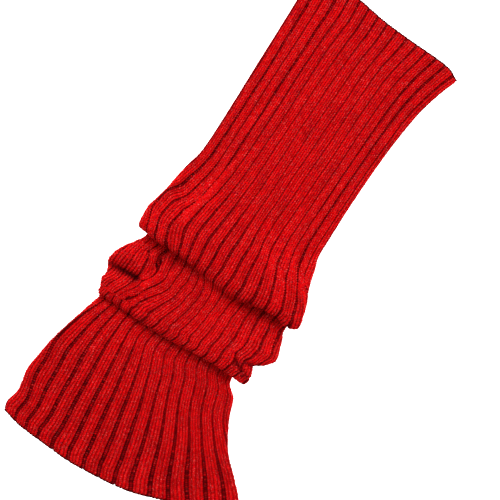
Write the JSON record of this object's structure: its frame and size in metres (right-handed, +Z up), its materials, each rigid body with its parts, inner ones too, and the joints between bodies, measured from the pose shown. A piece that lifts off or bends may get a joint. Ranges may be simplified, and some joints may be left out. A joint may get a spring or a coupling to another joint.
{
  "type": "knitted boot cuff",
  "caption": "Ribbed knitted boot cuff or leg warmer, one tube laid flat and slouched into folds in its middle, with an open mouth and a flared open hem.",
  "frame": {"origin": "middle of the bounding box across and along, on the surface that the cuff lies on", "axes": "+Y along the cuff from the hem to the mouth, +X across it to the viewer's right, +Z up off the surface"},
  "size_m": [0.1637, 0.3506, 0.0184],
  "materials": {
    "red_rib_knit": "matt red yarn in a raised rib, lighter flecks on the ribs and darker purl troughs between them"
  },
  "bodies": {
    "root": {"cuff": "red_rib_knit"}
  },
  "joints": []
}
